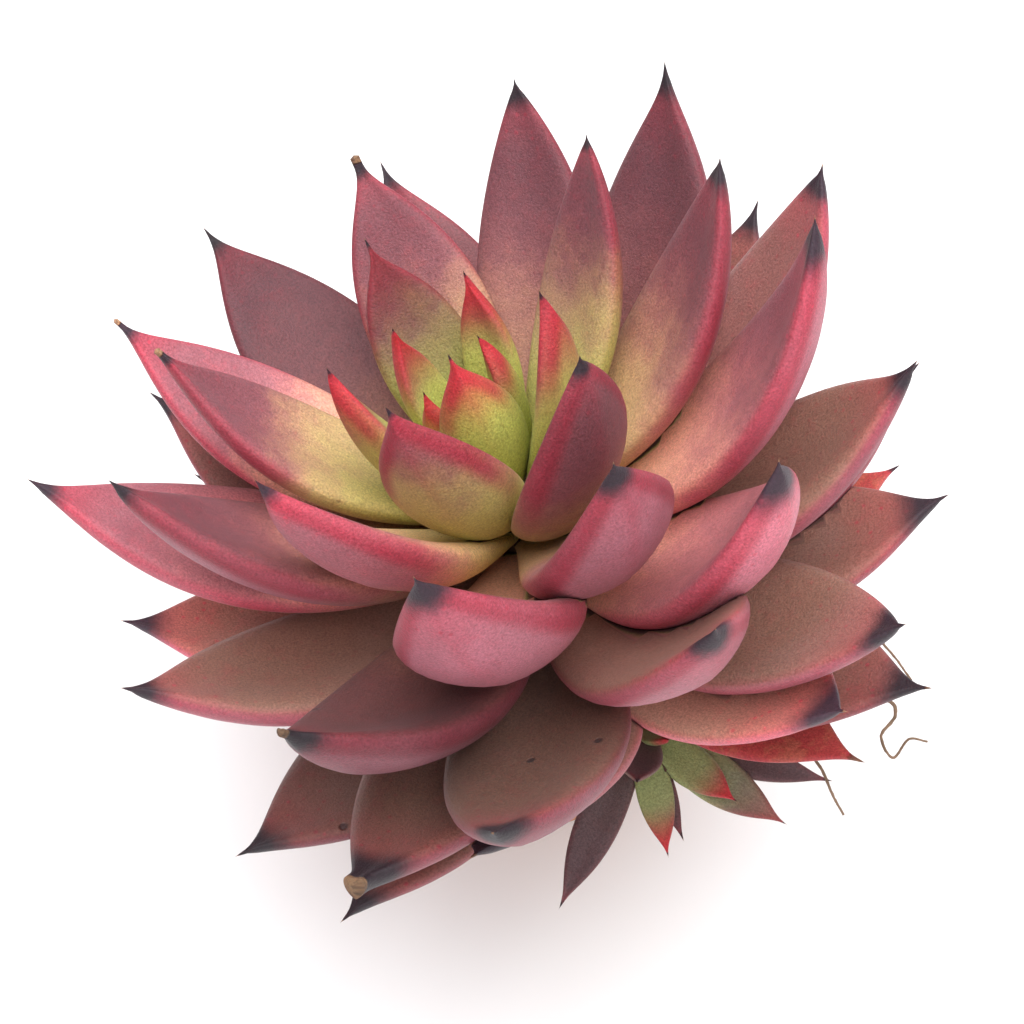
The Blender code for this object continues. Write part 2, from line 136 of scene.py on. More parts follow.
class Bench:
    """The node tree of one Principled material."""

    def __init__(self, name: str) -> None:
        """Make an empty material of that name."""
        self.material = bpy.data.materials.new(name)
        self.material.use_nodes = True
        self.tree = self.material.node_tree
        self.shader = self.tree.nodes["Principled BSDF"]

    def plug(self, socket: bpy.types.NodeSocket, value: Any) -> None:
        """Link a wire to a socket, or set the socket's value."""
        if isinstance(value, Wire):
            self.tree.links.new(value.socket, socket)
        elif isinstance(value, tuple) and len(value) == 3 and socket.type == "RGBA":
            socket.default_value = (*value, 1.0)
        else:
            socket.default_value = value

    def node(
        self,
        kind: str,
        settings: dict[str, Any] | None = None,
        inputs: dict[str | int, Any] | None = None,
        output: str | int = 0,
    ) -> Wire:
        """Add a node of any type.

        Args:
            kind: The node's type name.
            settings: Its properties, set before its sockets. "stops" are a ramp's stops.
            inputs: Values or wires by socket name or number.
            output: The socket to read.

        Returns:
            The wire from that output.
        """
        made = self.tree.nodes.new(kind)
        for key, value in (settings or {}).items():
            if key == "stops":
                self._set_stops(made.color_ramp, value)
            else:
                setattr(made, key, value)
        for key, value in (inputs or {}).items():
            self.plug(made.inputs[key], value)
        return Wire(self, made.outputs[output])

    @staticmethod
    def _set_stops(ramp: bpy.types.ColorRamp, stops: Sequence[tuple[float, Colour]]) -> None:
        """Give a colour ramp its stops."""
        while len(ramp.elements) < len(stops):
            ramp.elements.new(0.5)
        for element, (place, colour) in zip(ramp.elements, stops):
            element.position = place
            element.color = (*colour, 1.0)

    def measure(self, name: str, output: str = "Fac") -> Wire:
        """Read a measure that the mesh carries."""
        return self.node("ShaderNodeAttribute", {"attribute_name": name}, output=output)

    def mix(self, first: Any, second: Any, share: Any) -> Wire:
        """Mix two colours."""
        return self.node("ShaderNodeMix", {"data_type": "RGBA"}, {0: share, 6: first, 7: second}, output=2)

    def scaled(self, colour: Wire, factor: Any) -> Wire:
        """Multiply a colour by a number."""
        return self.node("ShaderNodeVectorMath", {"operation": "SCALE"}, {0: colour, "Scale": factor})

    def cloud(self, place: Wire, scale: float, detail: float = 2.0, rough: float = 0.5) -> Wire:
        """Soft noise from 0 to 1 at a place."""
        inputs = {"Vector": place, "Scale": scale, "Detail": detail, "Roughness": rough}
        return self.node("ShaderNodeTexNoise", {}, inputs)

    def spots(self, place: Wire, scale: float) -> Wire:
        """Distance to the nearest of many scattered points."""
        return self.node("ShaderNodeTexVoronoi", {}, {"Vector": place, "Scale": scale})

    def object_place(self) -> Wire:
        """Where a point lies in its object, in metres."""
        return self.node("ShaderNodeTexCoord", output="Object")

    def bump(self, height: Wire, depth: float, strength: float = 1.0) -> None:
        """Drive the shader's normal by a height."""
        inputs = {"Height": height, "Distance": depth, "Strength": strength}
        self.plug(self.shader.inputs["Normal"], self.node("ShaderNodeBump", {}, inputs))

    def finish(self, **values: Any) -> bpy.types.Material:
        """Set the shader's sockets, with underscores for spaces, and return the material."""
        for key, value in values.items():
            self.plug(self.shader.inputs[key.replace("_", " ")], value)
        return self.material


# --------------------------------------------------------------------------- finishes


@dataclass(frozen=True)
class LeafSkin:
    """Waxy leaf skin: green at the foot, mauve above, with red margins and dark tips, painted shade where
    leaves press together, and a lightness per leaf that is partly painted light and shade.
    """

    name: str = "leaf_skin"
    heart_green: Colour = (0.43, 0.46, 0.10)
    pale_foot: Colour = (0.62, 0.45, 0.20)
    warm_foot: Colour = (0.56, 0.27, 0.17)
    rose: Colour = (0.41, 0.142, 0.142)
    plum: Colour = (0.15, 0.036, 0.052)
    old_brown: Colour = (0.24, 0.13, 0.085)
    crimson: Colour = (0.37, 0.020, 0.045)
    scarlet: Colour = (0.46, 0.016, 0.026)
    lilac: Colour = (0.42, 0.125, 0.165)
    ink: Colour = (0.020, 0.012, 0.019)
    straw: Colour = (0.30, 0.17, 0.09)
    cork: Colour = (0.12, 0.065, 0.04)
    # Painted shade for the faces where a leaf is pressed against another
    painted_crease_shade: Colour = (0.10, 0.042, 0.036)
    ember: Colour = (0.50, 0.09, 0.05)

    def material(self) -> bpy.types.Material:
        """Build the skin from the measures that each leaf carries."""
        bench = Bench(self.name)
        along, edge, under, age = (bench.measure(key) for key in ("along", "edge", "under", "age"))
        from_tip, ink_reach, dry_reach = (bench.measure(key) for key in ("from_tip", "ink", "dry"))
        space = bench.measure("leaf_space", "Vector")
        drift = bench.cloud(space, 55.0, 3.0)
        blotch = bench.cloud(space, 260.0, 4.0, 0.65)
        grain = bench.cloud(space, 2400.0, 3.0, 0.75)

        # Upper face rose, plum towards the point and brown when old; under face lilac
        wavy = along + (drift - 0.5) * 0.40 - (blotch - 0.5) * 0.22
        face = bench.mix(self.rose, self.plum, wavy.ramp(0.25, 0.82) * (0.88 - under * 0.10))
        upper = bench.mix(face, self.old_brown, age.ramp(0.44, 0.56) * 0.85)
        lower = bench.mix(face, self.lilac, age.ramp(0.20, 0.34) * (0.6 + drift * 0.5).at_most(1.0))
        lower = bench.mix(lower, self.old_brown, age.ramp(0.62, 1.0) * 0.5)
        lower = bench.scaled(lower, 0.72 + drift * 0.56)
        skin = bench.mix(upper, lower, under)

        # Green foot, far up the young leaves and short on the old ones
        reach = (1.02 - age * 1.9).at_least(0.82 - age * 0.78)
        reach = reach + under * ((1.0 - age.ramp(0.15, 0.23)) * 0.26 - 0.10)
        green = 1.0 - wavy.ramp(reach - 0.38, reach + 0.06)
        paling = (age + wavy * 0.12).ramp(0.12, 0.34) * (1.0 - under * 0.5)
        foot = bench.mix(self.heart_green, self.pale_foot, paling)
        foot = bench.mix(foot, self.warm_foot, (age + wavy * 0.20).ramp(0.24, 0.44))
        skin = bench.mix(skin, foot, green * (1.0 - age.ramp(0.45, 0.70) * 0.8))
        burnt = bench.mix(self.scarlet, self.ember, blotch.ramp(0.45, 0.62))
        skin = bench.mix(skin, burnt, bench.measure("flush") * (0.45 + drift * 0.8).at_most(1.0))

        # Margins and keel, brightest on young leaves
        wide = 1.6 - age.ramp(0.1, 0.5) * 0.4
        margin = 1.0 - abs(edge + 0.8).ramp(0.1, wide + drift * 1.8)
        margin = margin * (along + drift * 0.3 + age).ramp(0.72, 1.05) * (0.40 + drift * 1.1).at_most(1.0)
        blush = bench.scaled(self.crimson, 1.15 - along * 0.55)
        skin = bench.mix(skin, blush, margin * (0.95 - age.ramp(0.30, 0.7) * 0.45))
        keel = bench.measure("keel") * along.ramp(0.35, 0.8) * (drift - 0.1)
        skin = bench.mix(skin, self.crimson, keel * 0.5)
        flush = blotch.ramp(0.48, 0.75) * along.ramp(0.3, 0.9)
        skin = bench.mix(skin, self.crimson, flush * 0.22)

        # Tips: scarlet on the youngest leaves, ink on the others, and a dry point
        young = 1.0 - age.ramp(0.10, 0.18)
        flame = (along + (drift - 0.5) * 0.15).ramp(0.58, 0.95) * young
        skin = bench.mix(skin, self.scarlet, flame * 0.95)
        uneven = from_tip + (blotch - 0.5) * 2.6
        skin = bench.mix(skin, self.crimson, (1.0 - uneven.ramp(ink_reach, ink_reach * 4.5)) * 0.40)
        smoke = 1.0 - uneven.ramp(ink_reach * 0.9, ink_reach * 2.0)
        skin = bench.mix(skin, self.ink, smoke * 0.98)
        dry = 1.0 - (from_tip + (blotch - 0.5)).ramp(dry_reach * 0.8, dry_reach * 1.15)
        skin = bench.mix(skin, bench.mix(self.straw, self.cork, blotch.ramp(0.42, 0.60)), dry * 0.9)

        # Scars, freckles, a pale bloom and fine grain; each leaf's tone, partly painted light and shade;
        # painted shade where leaves press together
        scar = 1.0 - bench.spots(space, 62.0).ramp(0.03, 0.06)
        skin = bench.mix(skin, self.ink, scar * 0.7)
        freckle = 1.0 - bench.spots(space, 420.0).ramp(0.08, 0.24)
        near_tip = 1.0 - from_tip.ramp(ink_reach * 2.0, ink_reach * 5.0)
        freckled = freckle * (1.0 - green) * (1.0 - smoke) * (near_tip * 0.45 + 0.15)
        skin = bench.mix(skin, self.crimson, freckled)
        bloom = (drift.ramp(0.45, 0.8) * 0.07 + grain * 0.02) * (1.0 - smoke)
        skin = bench.mix(skin, (0.56, 0.40, 0.42), bloom)
        # Grain and the leaf's tone scale the colour; the tone is partly the leaf's own colour, partly
        # painted light and shade
        skin = bench.scaled(skin, (0.10 + grain * 1.80) * (bench.measure("tone") + 1.0))
        # Painted shade: faces cut out by a pressing leaf carry own 0 and take the dark crease colour
        skin = bench.mix(self.painted_crease_shade, skin, bench.measure("own").ramp(0.2, 0.9))
        bench.bump(grain * 1.0 + blotch * 1.2 + dry * blotch * 4.0 - scar * 2.0, 0.00022, 0.8)
        return bench.finish(
            Base_Color=skin,
            Roughness=0.42 + grain * 0.18 + dry * 0.3,
            Specular_IOR_Level=0.38,
            Subsurface_Weight=0.08,
            Subsurface_Scale=0.003,
            Sheen_Weight=0.03,
        )


@dataclass(frozen=True)
class MottledFinish:
    """A rough natural surface of two colours, with noise at two scales."""

    name: str
    light: Colour
    dark: Colour
    coarse: float
    fine: float
    roughness: float
    depth: float

    def material(self) -> bpy.types.Material:
        """Build the finish in the object's own space."""
        bench = Bench(self.name)
        place = bench.object_place()
        broad = bench.cloud(place, self.coarse, 4.0)
        grit = bench.cloud(place, self.fine, 4.0, 0.65)
        skin = bench.mix(self.dark, self.light, broad.ramp(0.3, 0.7) * 0.6 + grit * 0.4)
        skin = bench.scaled(skin, 0.75 + grit * 0.5)
        bench.bump(grit + broad, self.depth, 0.8)
        return bench.finish(Base_Color=skin, Roughness=self.roughness - 0.1 + grit * 0.2)


PUP_SKIN = LeafSkin(
    name="pup_skin",
    heart_green=(0.25, 0.29, 0.11),
    pale_foot=(0.26, 0.27, 0.12),
    warm_foot=(0.16, 0.12, 0.07),
    rose=(0.17, 0.17, 0.10),
    plum=(0.13, 0.12, 0.09),
    old_brown=(0.075, 0.032, 0.042),
    lilac=(0.17, 0.15, 0.10),
    crimson=(0.20, 0.03, 0.04),
)
CLAY = MottledFinish("clay", (0.60, 0.27, 0.16), (0.47, 0.19, 0.10), 45.0, 1400.0, 0.85, 0.0002)
SOIL = MottledFinish("soil_mix", (0.10, 0.065, 0.04), (0.03, 0.02, 0.014), 130.0, 1500.0, 0.95, 0.0008)
GRIT = MottledFinish("soil_grit", (0.42, 0.36, 0.29), (0.20, 0.16, 0.12), 90.0, 1800.0, 0.9, 0.0002)
BARK = MottledFinish("stem_bark", (0.34, 0.24, 0.15), (0.13, 0.085, 0.05), 160.0, 1100.0, 0.9, 0.0006)
DRY_ROOT = MottledFinish("dry_root", (0.26, 0.17, 0.11), (0.10, 0.06, 0.035), 300.0, 2500.0, 0.9, 0.0002)


# --------------------------------------------------------------------------- leaves


@dataclass(frozen=True)
class Bend:
    """How a leaf departs from the spiral."""

    turn: float = 0  # degrees round the stem
    lean: float = 0  # degrees further out
    grow: float = 0  # metres longer
    curl: float = 0  # degrees more curl
    bow: float = 0  # metres that the middle stands aside of the chord
    plump: float = 1  # share of the usual thickness
    broad: float = 1  # share of the usual width


BENT_LEAVES: dict[int, Bend] = {
    1: Bend(-2, 6, 0.001),
    3: Bend(-1, -2, 0.002),
    4: Bend(-3, -2, 0.001),
    5: Bend(-2, 2, -0.003),
    7: Bend(-1, -1, -0.003),
    8: Bend(-12, -2, -0.003),
    9: Bend(grow=0.0015),
    10: Bend(-4.5, 5, 0.004),
    11: Bend(0, 3, 0.005),
    12: Bend(-8, -1, -0.003, bow=-0.002, broad=1.08),
    13: Bend(5, 0, 0.000),
    14: Bend(1, -3, -0.001),
    15: Bend(-3, 2, 0.000),
    16: Bend(6, 4, 0.0035),
    17: Bend(6, 2, 0.001, curl=5),
    18: Bend(-1, 0, 0.002),
    19: Bend(-2, -4, 0.000),
    20: Bend(1.5, 0, 0.003, curl=15),
    21: Bend(5, 1, 0.000),
    22: Bend(3, -4, -0.002, curl=15, plump=1.1),
    23: Bend(1.5, -3, 0.0035, bow=-0.002),
    24: Bend(2.5, 1, 0.005),
    25: Bend(-5, 0, -0.002, curl=20),
    27: Bend(8, 2, 0.000, curl=15, plump=1.1),
    28: Bend(1, -3, 0.003, curl=10),
    29: Bend(0, -2, -0.004),
    30: Bend(4, 0, 0.000, curl=8),
    32: Bend(broad=0.94),
    35: Bend(0.5, 0, 0.006, curl=15),
    36: Bend(-2.5, 0, 0.002),
    37: Bend(2, 0, -0.002),
    38: Bend(-4, 3, 0.002, broad=0.92),
    40: Bend(6, 2, 0.000),
    41: Bend(-4, 8, 0.001),
    42: Bend(0, -12, -0.006),
    43: Bend(15, 4, -0.005),
    44: Bend(0, -4, -0.004),
    45: Bend(8, 3, 0.000),
    46: Bend(0, 3, -0.002),
    47: Bend(0, -24, -0.010),
    48: Bend(-13, -4, -0.010, bow=0.007),
    51: Bend(2, 6, -0.001),
    53: Bend(-8, 0, 0.000),
    54: Bend(-7, 4, -0.003, plump=0.8),
    56: Bend(21, 12, -0.008, plump=0.5, broad=0.75),
}


# Length in millimetres of the dry point of each leaf that has more than a trace
DRY_POINTS: dict[int, float] = {
    11: 1.0, 13: 1.2, 16: 0.9, 27: 1.4, 35: 0.9,
    40: 0.9, 43: 0.9, 48: 1.6, 51: 1.2, 56: 3.0,
}
# Half-width in millimetres of the scar where a leaf's point has broken off
BROKEN_LEAVES: dict[int, float] = {11: 0.6, 13: 0.9, 16: 0.5, 27: 0.7, 40: 2.0}
# Leaves drawn lighter or darker than their neighbours, as a share: partly their own colour, partly painted
# light and shade
LEAF_TONES_AND_SHADE: dict[int, float] = {
    8: -0.35, 10: -0.1, 11: 0.05, 12: -0.2, 14: 0.5, 15: -0.05, 16: 0.7, 18: -0.25, 19: -0.15, 20: 0.35,
    21: -0.45, 22: 0.1, 23: -0.35, 24: 0.55, 25: 0.5, 27: -0.5, 28: 0.35, 35: -0.4, 37: 0.9, 40: -0.3,
    43: 0.9, 45: -0.45, 46: 0.1, 51: -0.25, 53: -0.25, 54: 0.5,
}
# Share of the usual dark tip, where it reaches further down or hardly shows
DARK_TIPS: dict[int, float] = {15: 1.15, 17: 1.1, 20: 1.35, 22: 1.05, 25: 1.25, 46: 1.1, 54: 0.25, 56: 0.2}
# Share of the usual width of the leaves that are slimmer than the others
SLIM_LEAVES: dict[int, float] = {0: 0.85, 2: 0.8, 3: 0.78, 5: 0.66, 8: 0.92, 10: 0.92, 18: 0.92}
# Leaves with a rounded end under their point
ROUND_LEAVES = (10, 12, 15, 17, 18, 20, 22, 25, 27, 28, 30, 35, 38, 40, 43, 48)
# Leaves that are red all over, and how far
FLUSHED_LEAVES: dict[int, float] = {54: 0.8, 56: 0.85}
WITHERED_LEAVES = (56,)


@dataclass(frozen=True)
class LeafForm:
    """The size and build of one leaf, with its length along +X and its face up.

    Attributes:
        length: Straight length from foot to point.
        width: Greatest width.
        thickness: Greatest thickness.
        curl: Degrees that the midline turns up from foot to point.
        bow: How far the middle stands aside.
        hook: Further degrees that the last part turns up.
        age: Age from 0, the bud, to 1.
        seed: Where the leaf reads the noise that makes it uneven.
        rings: Rings of points along the leaf.
        sides: Points in each ring.
        base_width: Width at the foot, as a share of the greatest.
        base_thickness: Thickness at the foot, as a share of the greatest.
        widest_at: Share of the length at which it is widest.
        thickest_at: Share of the length at which it is thickest.
        cup: How far the margins stand up.
        acute: How far the outline draws in before the point.
        spine: Length of the point that stands on the blade's end.
        blunt: Half-width of the end, where the point has broken off.
        ink: Length of the dark tip, in millimetres.
        dry: Length of the dry point, in millimetres.
        flush: How red the whole leaf is, from 0 to 1.
        tone: How much lighter or darker it is drawn than the others, as a share; partly its own colour,
            partly painted light and shade.
    """

    length: float
    width: float
    thickness: float
    curl: float
    bow: float = 0.0
    hook: float = 0.0
    age: float = 0.5
    seed: float = 0.0
    rings: int = 60
    sides: int = 32
    base_width: float = 0.38
    base_thickness: float = 0.36
    widest_at: float = 0.50
    thickest_at: float = 0.38
    cup: float = 0.03
    acute: float = 0.45
    spine: float = 2.5 * MM
    blunt: float = 0.0
    ink: float = 4.0
    dry: float = 0.6
    flush: float = 0.0
    tone: float = 0.0

    def point(self, share: np.ndarray) -> np.ndarray:
        """Half-width of the horny point that stands on the blade's end."""
        from_tip = np.clip((1 - share) * self.length / (self.spine * 2.2), 0, 1)
        return np.maximum(self.spine * 0.36 * from_tip**0.75, self.blunt)

    def widths(self, share: np.ndarray) -> np.ndarray:
        """Half-width along the leaf."""
        blade = share / (1 - self.spine / self.length)
        rise = np.sin(np.pi / 2 * np.clip(blade / self.widest_at, 0, 1)) ** 1.2
        fall = np.clip((blade - self.widest_at) / (1 - self.widest_at), 0, 1)
        taper = np.cos(np.pi / 2 * fall) ** (0.85 + self.acute * fall**3)
        outline = np.where(blade < self.widest_at, self.base_width + (1 - self.base_width) * rise, taper)
        return np.hypot(outline * self.width / 2, self.point(share))

    def depths(self, share: np.ndarray) -> np.ndarray:
        """Thickness along the leaf."""
        blade = share / (1 - self.spine / self.length)
        rise = np.sin(np.pi / 2 * np.clip(blade / self.thickest_at, 0, 1))
        fall = np.clip((blade - self.thickest_at) / (1 - self.thickest_at), 0, 1)
        taper = np.cos(np.pi / 2 * fall) ** 0.75
        foot_rise = self.base_thickness + (1 - self.base_thickness) * rise
        profile = np.where(blade < self.thickest_at, foot_rise, taper)
        return np.hypot(profile * self.thickness, 1.3 * self.point(share))

    def midline(self, share: np.ndarray) -> tuple[np.ndarray, np.ndarray]:
        """Points and directions of the curled midline, in the leaf's X and Z.

        Args:
            share: Places along the leaf, 0 to 1.

        Returns:
            An array of points and an array of unit directions.
        """
        fine = np.linspace(0, 1, 241)
        turns = np.radians(self.curl) * (0.5 - fine**1.3)
        turns = turns - np.radians(self.hook) * (np.clip((fine - 0.72) / 0.28, 0, 1) ** 1.5 - 0.08)
        steps = np.stack((np.cos(turns), -np.sin(turns)), axis=1)
        points = np.concatenate((np.zeros((1, 2)), np.cumsum(steps[:-1], axis=0)))
        chord = points[-1]
        reach = np.hypot(*chord)
        level = np.array(((chord[0], -chord[1]), (chord[1], chord[0]))) / reach
        points = points @ level * (self.length / reach)
        steps = steps @ level
        at = np.stack([np.interp(share, fine, points[:, k]) for k in range(2)], axis=1)
        heading = np.stack([np.interp(share, fine, steps[:, k]) for k in range(2)], axis=1)
        return at, heading / np.linalg.norm(heading, axis=1, keepdims=True)

    def shape(self) -> tuple[np.ndarray, dict[str, np.ndarray]]:
        """Points of the skin, ring by ring, and the measures that its finish reads."""
        share = np.linspace(0, 1, self.rings + 1)[:-1] ** 0.85
        share = np.append(share, 0.9985)
        at, heading = self.midline(share)
        around = 2 * np.pi * np.arange(self.sides) / self.sides
        across, rise = np.cos(around), np.sin(around)
        half = self.widths(share)[:, None]
        deep = self.depths(share)[:, None]
        s = share[:, None]
        sharp = 0.14 + 0.16 * s**2
        crown = 0.42 * np.abs(rise) - 0.31 * rise**4 + 0.25 * s**8 * np.abs(rise)
        belly = (1 - sharp) * np.abs(rise) + sharp * (1.03 - np.sqrt(across**2 + 0.0009 + 0.02 * (1 - s)))
        level = np.where(rise >= 0, crown, -belly)
        level = level * deep + self.cup * (0.4 + 1.6 * s**2) * half * across**2
        side = across * half + self.bow * np.sin(np.pi * s)
        along_x = at[:, :1] - heading[:, 1:] * level
        up_z = at[:, 1:] + heading[:, :1] * level
        points = np.stack((along_x, np.broadcast_to(side, along_x.shape), up_z), axis=2)
        margin = (1 - np.abs(across)) * half / MM
        measures = {
            "along": np.broadcast_to(s, margin.shape),
            "edge": np.where(rise >= -0.05, margin, -margin),
            "under": np.broadcast_to(np.clip(0.5 - rise * 3, 0, 1), margin.shape),
            "keel": np.where(rise < 0, np.clip(1 - np.abs(across) * half / (1.6 * MM), 0, 1), 0.0),
            "age": np.full(margin.shape, self.age),
            "ink": np.full(margin.shape, self.ink),
            "dry": np.full(margin.shape, self.dry),
            "flush": np.full(margin.shape, self.flush),
            "tone": np.full(margin.shape, self.tone),
            "own": np.ones(margin.shape),
            "from_tip": np.broadcast_to((1 - s) * self.length / MM, margin.shape),
        }
        lengthways = np.broadcast_to(s * self.length, level.shape)
        measures["leaf_space"] = np.stack((lengthways, across * half, level + self.seed), axis=2)
        return points, measures


class LeafPlace(Enum):
    """Where a leaf stands in the rosette: its CAD name and a slot name."""

    HEART = ("heart", "heart_skin")
    INNER = ("inner", "inner_skin")
    OUTER = ("outer", "outer_skin")
    WITHERED = ("outer", "withered_skin")


class Joining(Enum):
    """What a Boolean does with the other skins."""

    CUT = "DIFFERENCE"
    GROW = "UNION"


def skin_mesh(name: str, rings: np.ndarray, measures: dict[str, np.ndarray]) -> bpy.types.Mesh:
    """Join rings of points into one closed skin with a capped foot and a pointed end.

    Args:
        name: The mesh's name.
        rings: Points, as ring, side, xyz.
        measures: Values at the same points, each a number or a vector.

    Returns:
        The mesh, smooth, with each measure as an attribute.
    """
    count, sides, _ = rings.shape
    points = rings.reshape(-1, 3)
    tip = rings[-1].mean(axis=0) + (rings[-1].mean(axis=0) - rings[-2].mean(axis=0)) * 0.5
    points = np.vstack((points, tip))
    faces: list[tuple[int, ...]] = [tuple(reversed(range(sides)))]
    for ring in range(count - 1):
        for k in range(sides):
            low, high = ring * sides + k, ring * sides + (k + 1) % sides
            faces.append((low, high, high + sides, low + sides))
    last = (count - 1) * sides
    faces += [(last + k, last + (k + 1) % sides, count * sides) for k in range(sides)]
    mesh = bpy.data.meshes.new(name)
    mesh.from_pydata(points.tolist(), [], faces)
    for key, values in measures.items():
        vector = values.ndim == 3
        flat = values.reshape(-1, 3) if vector else values.reshape(-1)
        flat = np.concatenate((flat, flat[-1:]))
        layer = mesh.attributes.new(key, "FLOAT_VECTOR" if vector else "FLOAT", "POINT")
        layer.data.foreach_set("vector" if vector else "value", flat.ravel())
    bm = bmesh.new()
    bm.from_mesh(mesh)
    bmesh.ops.recalc_face_normals(bm, faces=bm.faces)
    bm.to_mesh(mesh)
    bm.free()
    mesh.shade_smooth()
    return mesh


def combined(mesh: bpy.types.Mesh, others: Sequence[bpy.types.Mesh], joining: Joining) -> bpy.types.Mesh:
    """Cut other skins out of a mesh, or join them to it.

    Args:
        mesh: The mesh to work on.
        others: The skins to take away or to add.
        joining: Whether to cut them out or to grow them on.

    Returns:
        A new mesh that keeps the measures of the first.
    """
    target = bpy.data.objects.new(mesh.name, mesh)
    bpy.context.scene.collection.objects.link(target)
    helpers = []
    for other in others:
        helper = bpy.data.objects.new(other.name, other)
        bpy.context.scene.collection.objects.link(helper)
        helpers.append(helper)
        change = target.modifiers.new(joining.name.title(), "BOOLEAN")
        change.operation = joining.value
        change.solver = "MANIFOLD"
        change.object = helper
    graph = bpy.context.evaluated_depsgraph_get()
    result = bpy.data.meshes.new_from_object(target.evaluated_get(graph))
    for made in (target, *helpers):
        bpy.data.objects.remove(made, do_unlink=True)
    result.name = mesh.name
    return result


def inflated(mesh: bpy.types.Mesh, amount: float) -> bpy.types.Mesh:
    """A copy of a mesh with its skin moved outwards by an amount, marked as another leaf's, so that the
    faces it cuts out take the painted crease shade.
    """
    copy = mesh.copy()
    if "own" in copy.attributes:
        marks = copy.attributes["own"].data
        marks.foreach_set("value", [0.0] * len(marks))
    points = np.empty(len(mesh.vertices) * 3)
    normals = np.empty(len(mesh.vertices) * 3, dtype=np.float32)
    mesh.vertices.foreach_get("co", points)
    mesh.vertex_normals.foreach_get("vector", normals)
    copy.vertices.foreach_set("co", points + normals * amount)
    copy.update()
    return copy


def largest_body(mesh: bpy.types.Mesh) -> None:
    """Drop the crumbs that a cut can leave beside the main body."""
    bm = bmesh.new()
    bm.from_mesh(mesh)
    waiting = set(bm.verts)
    bodies = []
    while waiting:
        stack, body = [waiting.pop()], []
        while stack:
            vert = stack.pop()
            body.append(vert)
            for edge in vert.link_edges:
                other = edge.other_vert(vert)
                if other in waiting:
                    waiting.remove(other)
                    stack.append(other)
        bodies.append(body)
    bodies.sort(key=len)
    bmesh.ops.delete(bm, geom=[vert for body in bodies[:-1] for vert in body], context="VERTS")
    bm.to_mesh(mesh)
    bm.free()


def tree_of(mesh: bpy.types.Mesh) -> BVHTree:
    """Search tree over a mesh's faces."""
    return BVHTree.FromPolygons([v.co for v in mesh.vertices], [p.vertices for p in mesh.polygons])


def place(
    name: str, mesh: bpy.types.Mesh, material: bpy.types.Material, slot: str, *nodes: str
) -> bpy.types.Object:
    """Put one finished piece into the scene, standing for its CAD nodes."""
    mesh.materials.clear()
    mesh.materials.append(material)
    piece = bpy.data.objects.new(name, mesh)
    bpy.context.scene.collection.objects.link(piece)
    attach(piece, BODY)
    if nodes:
        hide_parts(*nodes)
    LOG.info("%s: %d faces", name, len(mesh.polygons))
    return piece


# --------------------------------------------------------------------------- tubes


def smooth_path(points: Sequence[Vector], steps: int) -> list[Vector]:
    """A smooth curve through a few points, with so many steps per stretch."""
    padded = [points[0] * 2 - points[1], *points, points[-1] * 2 - points[-2]]
    curve = []
    for a, b, c, d in zip(padded, padded[1:], padded[2:], padded[3:]):
        for t in (k / steps for k in range(steps)):
            square = (a * 2 - b * 5 + c * 4 - d) * t**2
            cube = (b * 3 - a - c * 3 + d) * t**3
            curve.append((b * 2 + (c - a) * t + square + cube) / 2)
    curve.append(points[-1])
    return curve


def tube(points: Sequence[Vector], radii: Sequence[float], sides: int) -> np.ndarray:
    """Rings of a round tube along a path, as an array of ring, side, xyz."""
    direction = (points[1] - points[0]).normalized()
    across = direction.orthogonal().normalized()
    rings = []
    for k, point in enumerate(points):
        heading = (points[min(k + 1, len(points) - 1)] - points[max(k - 1, 0)]).normalized()
        across = direction.rotation_difference(heading) @ across
        direction = heading
        side = direction.cross(across)
        turns = [2 * math.pi * j / sides for j in range(sides)]
        rings.append([point + (across * math.cos(t) + side * math.sin(t)) * radii[k] for t in turns])
    return np.array(rings)


def roughened(rings: np.ndarray, scale: float, depth: float, stretch: float = 1.0) -> np.ndarray:
    """Press a tube's skin inwards by noise, never outwards."""
    out = rings.copy()
    for k, ring in enumerate(rings):
        centre = ring.mean(axis=0)
        for j, point in enumerate(ring):
            dent = 0.5 + 0.5 * noise.noise(Vector((point[0], point[1], point[2] * stretch)) * scale)
            out[k, j] = centre + (point - centre) * (1 - depth * dent)
    return out


# --------------------------------------------------------------------------- plant


